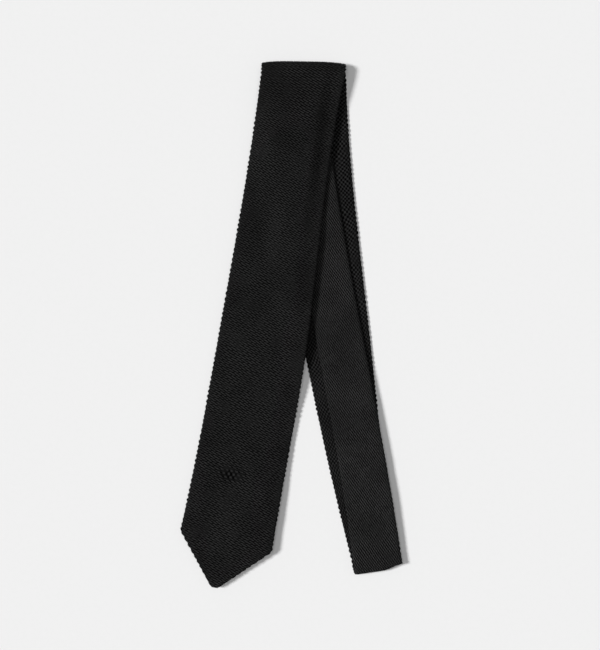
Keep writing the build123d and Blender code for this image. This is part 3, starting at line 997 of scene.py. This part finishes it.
def knit_material(name, knit, lit_crown_tone, pit, band_tone, strand_glint=0.3):
    """Black yarn in loops: painted highlight on the crowns and on loose strands, painted shade in the pits,
    twisted plies, and uneven dye.
    """
    n = Nodes(name)
    u, s = n.uv()

    def wave(place, strength):
        return n.times(n.math("COSINE", n.times(place, 2 * pi)), strength / 2)

    fall, rise, rows, crossing = knit["weave"]
    falling = n.times_plus(s, -knit["slant"], u)
    crown = n.plus(wave(falling, fall), wave(n.times_plus(s, knit["slant"], u), rise))
    crown = n.plus(crown, wave(s, rows))
    crown = n.times_plus(wave(falling, crossing), wave(s, 2.0), crown)
    crown = n.plus(crown, 0.5, clamp=True)
    opened = n.times(wave(n.times(s, 0.5), 1.0), wave(u, 4.0))
    opened = n.plus(opened, 0.5, clamp=True)
    pull = n.value("pull")
    crown = n.times_plus(n.minus(opened, crown), pull, crown)
    band = n.value("band")
    pit_now = n.value("pit")
    smoothed = n.minus(n.minus(1.0, pit_now), crown)
    crown = n.times_plus(smoothed, band, crown)
    twist = n.math("SINE", n.plus(n.times(u, 2 * pi * 7), n.times(crown, 3.0)))
    fuzz = n.noise(n.place(), 2600.0, 3.0, 0.6)
    patches = n.noise(n.place(), 38.0, 3.0, 0.55)
    # painted light: lit runs from the painted shade in the pits to the painted highlight on the crowns;
    # stitch and flat only vary how strong it is
    lit = n.ramp(crown, n.times_plus(pull, 0.12, 0.29), n.times_plus(pull, 0.12, 0.80))
    stitch = n.noise(n.place(), 820.0, 1.0, 0.5)
    lit = n.times(lit, n.ramp(stitch, 0.30, 0.70, 0.6, 1.4))
    flat = n.ramp(n.noise(n.place(), 120.0, 2.0, 0.5), 0.52, 0.66, 0.0, 0.55)
    lit = n.plus(n.times(lit, n.minus(1.0, flat)), n.times(flat, 0.38))
    # the pit tone is painted shade, the crown tone painted highlight, mixed by lit
    shade = n.mix(lit, grey(pit), grey(lit_crown_tone))
    shade = n.mix(n.times(band, 0.55), shade, grey(band_tone))
    # painted highlight: loose fibres lighter than the crowns, only where the crowns are painted lit
    strand_highlight = n.times(n.ramp(fuzz, 0.5, 0.72, 0.0, strand_glint), lit)
    shade = n.mix(strand_highlight, shade, grey(lit_crown_tone * 1.6))
    shade = n.mix(n.ramp(patches, 0.35, 0.7, 0.0, 0.25), shade, grey(0.0))
    roughness = n.ramp(fuzz, 0.3, 0.7, 0.66, 0.84)
    relief = n.plus(n.times(twist, 0.22), n.times(fuzz, 0.8))
    relief = n.plus(relief, n.times(crown, 1.2))
    n.bump(relief, 0.16 * MM, 1.0)
    return n.finish(
        shade, roughness, Specular_IOR_Level=0.03, Sheen_Weight=0.01, Sheen_Roughness=0.35,
        Sheen_Tint=(0.75, 0.78, 0.85, 1.0),
    )


def wool_material():
    """Interlining. Its real colour isn't seen. It is dark, which also hides what shows of it at the
    opened upper fold and beside the blade's lining."""
    n = Nodes("wool_interlining")
    spot = n.place((1, 1, 1))
    fuzz = n.noise(spot, 900.0, 4.0, 0.65)
    threads = n.noise(n.place((1, 0.15, 1)), 1800.0, 2.0)
    shade = n.mix(n.ramp(fuzz, 0.35, 0.7), grey(0.014), grey(0.028))
    shade = n.mix(n.ramp(threads, 0.5, 0.7, 0.0, 0.5), shade, grey(0.045))
    n.bump(n.plus(fuzz, threads), 0.15 * MM, 0.7)
    return n.finish(shade, n.ramp(threads, 0.3, 0.7, 0.8, 0.95), Specular_IOR_Level=0.1, Sheen_Weight=0.03)


def satin_material(name, tone, sheen_tone, scale):
    """Fine satin: long floats that shine across their length."""
    n = Nodes(name)
    u, v = n.uv()
    warp = n.math("SINE", n.times(u, 2 * pi / 0.32))
    weft = n.math("SINE", n.times_plus(v, 2 * pi / 0.55, n.times(u, 4.0)))
    slub = n.noise(n.place((1, 0.08, 1)), scale, 3.0)
    shade = n.mix(n.ramp(warp, -1.0, 1.0), grey(tone * 0.75), grey(tone))
    shade = n.mix(n.ramp(slub, 0.45, 0.75, 0.0, 0.6), shade, grey(sheen_tone))
    n.bump(n.plus(warp, n.times(weft, 0.5)), 0.03 * MM, 0.5)
    return n.finish(
        shade, n.ramp(slub, 0.3, 0.7, 0.34, 0.5), Specular_IOR_Level=0.4, Anisotropic=0.5, Sheen_Weight=0.05
    )


def thread_material():
    n = Nodes("sewing_thread")
    fuzz = n.noise(n.place(), 4000.0, 2.0)
    ply = n.noise(n.place((1, 1, 4)), 2200.0, 1.0)
    shade = n.mix(n.ramp(ply, 0.35, 0.65), grey(0.012), grey(0.035))
    n.bump(n.plus(fuzz, ply), 0.08 * MM, 0.8)
    return n.finish(shade, n.ramp(fuzz, 0.3, 0.7, 0.45, 0.7), Specular_IOR_Level=0.35, Sheen_Weight=0.1)


def rib_material():
    n = Nodes("keeper_knit")
    u, v = n.uv()
    stitch = n.math("ABSOLUTE", n.math("SINE", n.times_plus(u, pi / 1.1, n.times(v, 1.6))))
    fuzz = n.noise(n.place(), 2600.0, 3.0, 0.6)
    shade = n.mix(n.ramp(stitch, 0.1, 0.8), grey(0.006), grey(0.018))
    shade = n.mix(n.times(n.ramp(fuzz, 0.5, 0.7), 0.5), shade, grey(0.03))
    n.bump(n.plus(stitch, fuzz), 0.15 * MM, 0.8)
    return n.finish(shade, n.ramp(fuzz, 0.3, 0.7, 0.6, 0.85), Specular_IOR_Level=0.2, Sheen_Weight=0.1)


def paper_material():
    n = Nodes("pale_floor")
    grain = n.noise(n.place(), 300.0, 3.0)
    shade = n.mix(n.ramp(grain, 0.3, 0.7), grey(0.80), grey(0.806))
    n.bump(grain, 0.02 * MM, 0.2)
    return n.finish(shade, n.ramp(grain, 0.3, 0.7, 0.9, 0.95), Specular_IOR_Level=0.0)


# each knit's tones: painted highlight on the crowns, painted shade in the pits, and the edge band's tone
fine_knit = knit_material("fine_knit", FINE, 0.0255, 0.0001, 0.008)
dense_knit = knit_material("dense_knit", DENSE, 0.042, 0.0001, 0.011)
coarse_knit = knit_material("coarse_knit", COARSE, 0.026, 0.0001, 0.009)
satin = satin_material("satin_lining", 0.020, 0.045, 420.0)
label_satin = satin_material("label_satin", 0.050, 0.080, 500.0)
sewing = thread_material()
wool_cloth = wool_material()


def dress(obj, material):
    obj.data.materials.clear()
    obj.data.materials.append(material)


KNIT_OF = {
    "blade": fine_knit, "upper_fold": fine_knit, "tail": dense_knit, "inner_fold": dense_knit,
    "neck_run": dense_knit, "neck_fold": dense_knit, "lower_run": coarse_knit,
}
for name, p in pieces.items():
    dress(p, KNIT_OF[name])
for p in wool.values():
    dress(p, wool_cloth)
for p in lining.values():
    dress(p, satin)
dress(band_piece, rib_material())
dress(label_piece, label_satin)
for p in [*slip.values(), *tack.values(), neck_join, tail_join]:
    dress(p, sewing)


# ---------- bodies, and the imported parts hidden

BODY = {"blade": "front_blade", "tail": "tail"}  # every other part but the upper and inner fold: folded_base


def attach(obj, part):
    """The piece moves with its body; a piece over the upper or inner fold stays in place, its transform
    baked.
    """
    if part == "upper_fold":
        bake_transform(obj)
    elif part == "inner_fold":
        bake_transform(obj)
    else:
        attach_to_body(obj, BODY.get(part, "folded_base"))


def folded_size(part, layers, trim):
    """Flat width and length of a part's cloth, and its true area."""
    if part in RUNS:
        run = RUNS[part]
        d = np.linspace(0, run.length, 200)
        left, right = run.edges(d)
        width = layers * (right - left) - 2 * trim
        return width.max(), run.length, float(np.mean(width)) * run.length
    fold = FOLDS[part]
    width = layers * (fold["first"][1] - fold["first"][0]) - 2 * trim
    arc = pi * (fold["high"] - fold["low"] - LAYER) / 2
    return width, max(arc, SHORTEST_SHEET), width * arc


for part, p in pieces.items():
    attach(p, part)
    width, length, area = folded_size(part, 2, 0.0)
    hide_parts(f"{part}_envelope")
for part, p in wool.items():
    attach(p, part)
    width, length, area = folded_size(part, 1, LINING_TRIM)
    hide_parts(f"{part}_interlining")
for part, p in lining.items():
    attach(p, part)
    start, widest, end, width = window(RUNS[part], f"{part}_tipping")
    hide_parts(f"{part}_tipping")
for stitches, kind in ((slip, "slip_stitch"), (tack, "bar_tack")):
    for part, p in stitches.items():
        attach(p, part)
        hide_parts(f"{part}_{kind}")
for p, node in ((neck_join, "neck_join_stitch"), (tail_join, "tail_join_stitch")):
    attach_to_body(p, "folded_base")
    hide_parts(node)

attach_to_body(band_piece, "front_blade")
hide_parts("keeper_loop")
d0, d1, w0, w1 = node_span("keeper_loop", tail)
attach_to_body(label_piece, "front_blade")
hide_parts("label")
d0, d1, w0, w1 = node_span("label", blade)


# ---------- floor, light and camera

FRAME_WIDTH = 0.4224  # of the ground that the camera sees
CAMERA_HEIGHT = 1.6
SENSOR = 36.0
LOOK_AT = (5.8 * MM, -0.5 * MM)
FLOOR_DROP = 0.0002
SEEN_ROOM, GIVEN_ROOM = 0.87, 0.12  # brightness of the white room, as seen and as light


def floor():
    size, parts = 12.0, 8
    points = [
        (size * (i / parts - 0.5), size * (j / parts - 0.5), -FLOOR_DROP)
        for i in range(parts + 1) for j in range(parts + 1)
    ]
    faces = grid_faces(0, parts + 1, parts + 1, True)
    obj = make_mesh("pale_floor", points, faces)
    dress(obj, paper_material())


def sun(name, azimuth, elevation, strength, angle):
    """A distant soft light that comes from a compass direction, 0 is +Y and 90 is +X."""
    data = bpy.data.lights.new(name, "SUN")
    data.energy = strength
    data.angle = radians(angle)
    obj = bpy.data.objects.new(name, data)
    a, e = radians(azimuth), radians(elevation)
    back = Vector((np.sin(a) * np.cos(e), np.cos(a) * np.cos(e), np.sin(e)))
    obj.rotation_mode = "QUATERNION"
    obj.rotation_quaternion = back.to_track_quat("Z", "Y")
    bpy.context.collection.objects.link(obj)


def studio():
    """A white room: seen, it is as pale as the floor, and it gives only part of the light."""
    world = bpy.data.worlds.new("studio")
    world.use_nodes = True
    tree = world.node_tree
    seen = tree.nodes["Background"]
    seen.inputs["Color"].default_value = (1, 1, 1, 1)
    seen.inputs["Strength"].default_value = SEEN_ROOM
    given = tree.nodes.new("ShaderNodeBackground")
    given.inputs["Strength"].default_value = GIVEN_ROOM
    given.inputs["Color"].default_value = (1, 1, 1, 1)
    choose = tree.nodes.new("ShaderNodeMixShader")
    tree.links.new(tree.nodes.new("ShaderNodeLightPath").outputs["Is Camera Ray"], choose.inputs[0])
    tree.links.new(given.outputs[0], choose.inputs[1])
    tree.links.new(seen.outputs[0], choose.inputs[2])
    tree.links.new(choose.outputs[0], tree.nodes["World Output"].inputs["Surface"])
    bpy.context.scene.world = world


floor()
sun("key", azimuth=272, elevation=47, strength=2.95, angle=15)
sun("fill", azimuth=0, elevation=90, strength=0.90, angle=34)
studio()

camera_data = bpy.data.cameras.new("camera")
camera_data.sensor_fit = "HORIZONTAL"
camera_data.sensor_width = SENSOR
camera_data.lens = SENSOR * CAMERA_HEIGHT / FRAME_WIDTH
camera_data.clip_start, camera_data.clip_end = 0.05, 20
camera = bpy.data.objects.new("camera", camera_data)
camera.location = (*LOOK_AT, CAMERA_HEIGHT)
bpy.context.collection.objects.link(camera)
bpy.context.scene.camera = camera
bpy.context.scene.view_settings.view_transform = "Standard"
